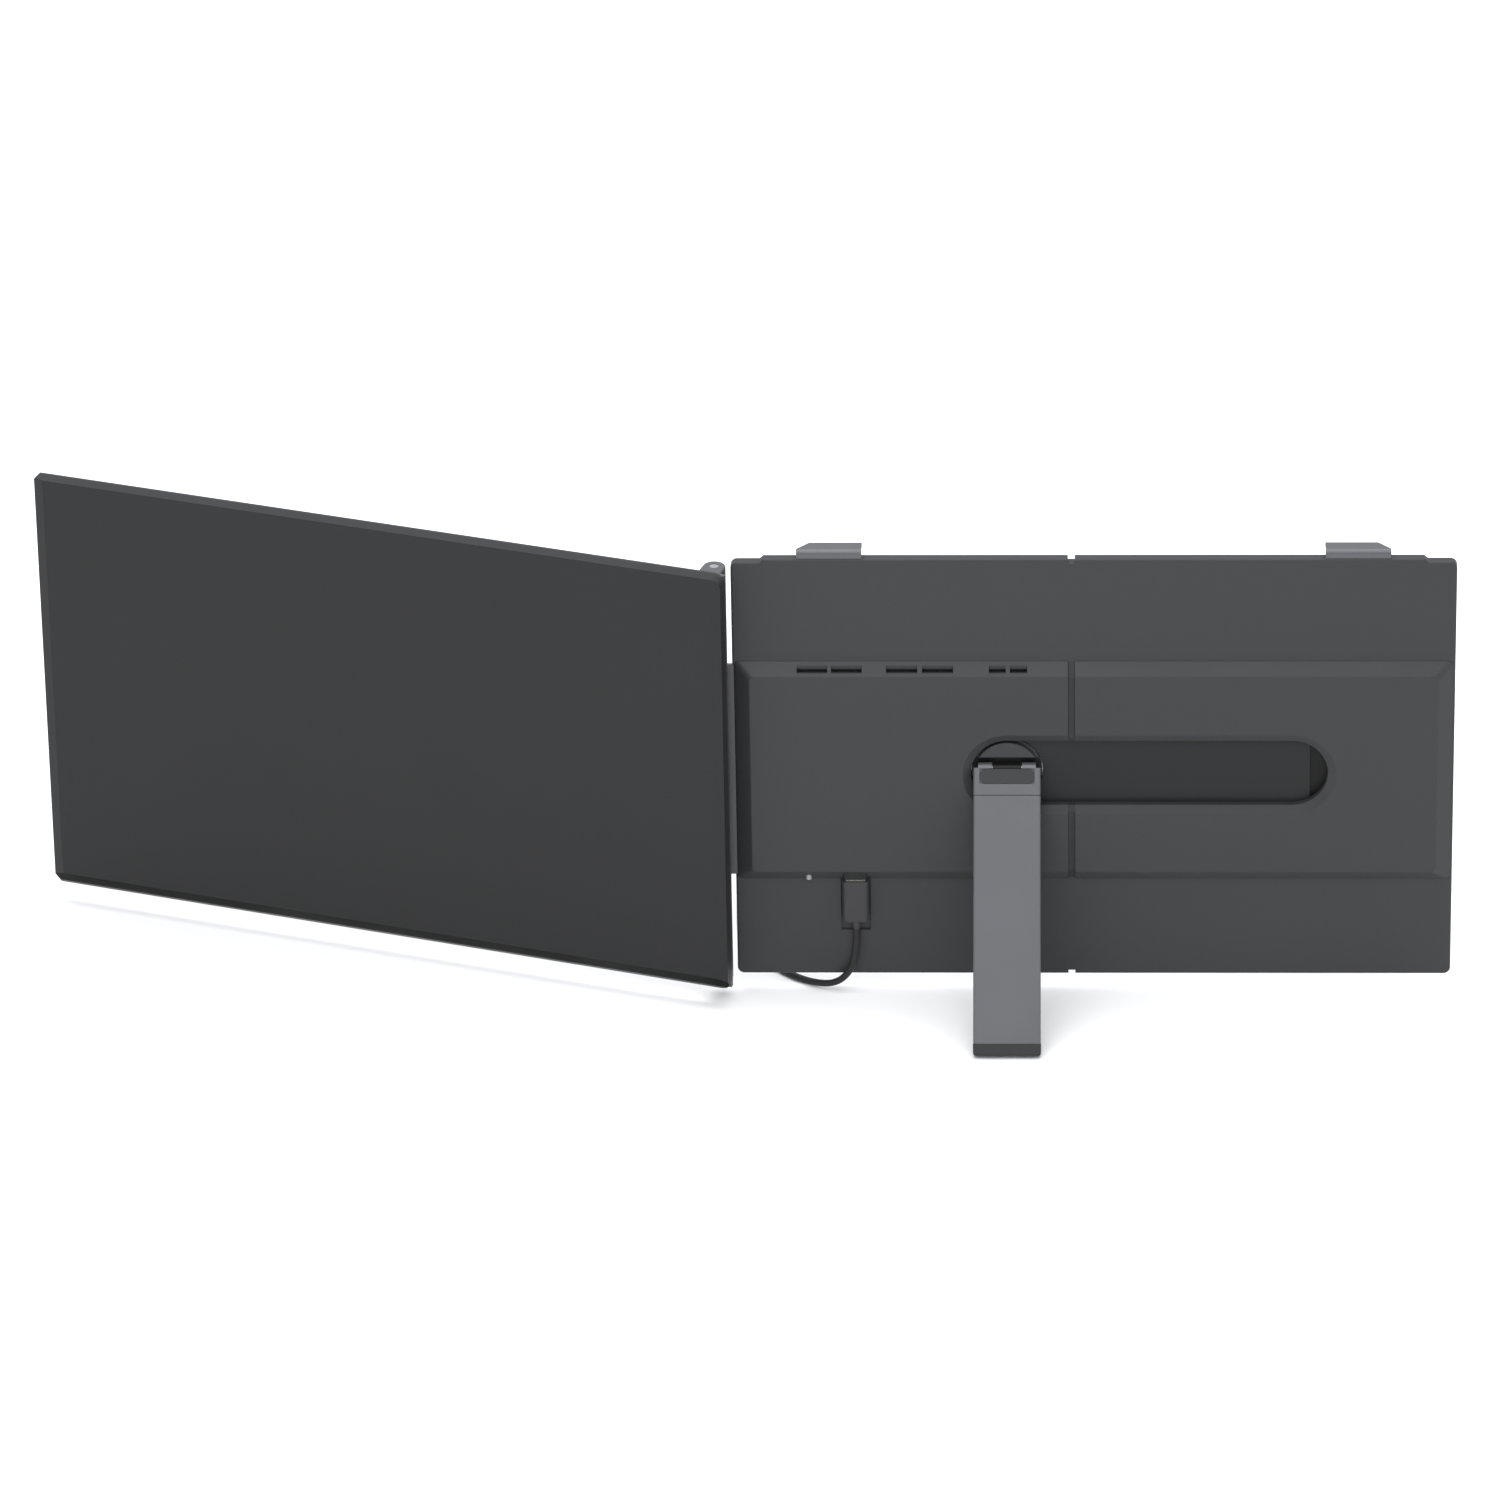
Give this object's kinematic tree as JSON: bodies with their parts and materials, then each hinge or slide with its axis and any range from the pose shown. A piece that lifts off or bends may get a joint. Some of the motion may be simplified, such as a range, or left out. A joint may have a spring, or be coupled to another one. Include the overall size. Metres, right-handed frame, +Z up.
{
  "type": "laptop screen extender",
  "caption": "Clip-on second screen for a laptop: mounting plate with sprung clips, side display on a long hinge, fold-out support leg and USB-C cable.",
  "frame": {"origin": "centre of the plate's face that lies on the laptop lid", "axes": "+X to the right seen from behind, +Y towards the laptop and out of the lid face, +Z up"},
  "size_m": [0.6224, 0.1881, 0.2162],
  "materials": {
    "shell": "fine matte texture, dark grey",
    "band": "fine matte texture, dark grey",
    "tray": "matte, darker grey",
    "leg": "bead blasted, dark anodised",
    "steel": "stamped steel",
    "hinge": "satin dark paint",
    "rubber": "matte rubber",
    "bezel": "fine matte black",
    "screen": "anti-glare panel, switched off",
    "board": "green solder mask",
    "chips": "matte black",
    "led": "frosted clear",
    "cable": "soft matte black jacket",
    "plug": "matte dark grey",
    "contact": "nickel plated",
    "film": "white diffuser sheet",
    "flex": "amber film"
  },
  "bodies": {
    "root": {"front_cover": "shell", "back_plate": "shell", "cover_screws": "steel", "front_pads": "rubber", "bracket_frame": "steel", "band_cover_left": "band", "band_cover_right": "band", "seam_strip": "tray", "leg_tray": "tray", "main_board": "board", "board_chips": "chips", "board_posts": "steel", "usb_c_receptacle": "contact", "port_shroud": "chips", "led_lens": "led", "hinge_leaf": "hinge", "hinge_pin": "steel", "hinge_washers": "steel", "hinge_screws": "steel", "clip_spring_left": "steel", "clip_spring_right": "steel", "plug_housing": "plug", "plug_tip": "contact", "plug_relief": "plug", "cord_lead": "cable", "cord_tail": "cable", "cord_coil": "cable", "cord_tie": "rubber", "far_relief": "plug", "far_plug_housing": "plug", "far_plug_tip": "contact"},
    "display": {"display_back_cover": "shell", "display_bezel": "bezel", "lcd_panel": "screen", "lcd_backlight": "film", "driver_board": "board", "display_flex": "flex", "hinge_spine": "hinge", "spine_screws": "steel"},
    "power_button": {"power_button": "shell"},
    "hub": {"hub_disc": "shell", "hub_retainer": "steel"},
    "leg": {"leg_pin": "steel", "leg_end_block": "leg", "leg_plate": "leg", "leg_pad": "rubber", "leg_foot": "rubber"},
    "clip_left": {"clip_hook_left": "leg", "clip_pad_left": "rubber"},
    "clip_right": {"clip_hook_right": "leg", "clip_pad_right": "rubber"}
  },
  "joints": [
    {"name": "display_hinge", "type": "hinge", "parent": "root", "child": "display", "pos_m": [-0.1635, -0.0075, 0], "axis": [0, 0, 1], "range_deg": [-161.7, 45]},
    {"name": "power_button_slide", "type": "slide", "parent": "display", "child": "power_button", "axis": [0.9494, -0.314, 0], "range_m": [0, 0.0005], "stiffness_N_per_m": 600},
    {"name": "leg_swivel", "type": "hinge", "parent": "root", "child": "hub", "pos_m": [-0.0376, -0.0035, 0], "axis": [0, 1, 0], "range_deg": [-90, 0]},
    {"name": "leg_tilt", "type": "hinge", "parent": "hub", "child": "leg", "pos_m": [-0.0376, -0.0071, 0.0023], "axis": [-1, 0, 0], "range_deg": [-13.9, 42]},
    {"name": "clip_left_slide", "type": "slide", "parent": "root", "child": "clip_left", "axis": [0, 0, 1], "range_m": [0, 0.025], "stiffness_N_per_m": 120, "springref_m": -0.01, "deforming": ["clip_spring_left"]},
    {"name": "clip_right_slide", "type": "slide", "parent": "root", "child": "clip_right", "axis": [0, 0, 1], "range_m": [0, 0.025], "stiffness_N_per_m": 120, "springref_m": -0.01, "deforming": ["clip_spring_right"]}
  ]
}
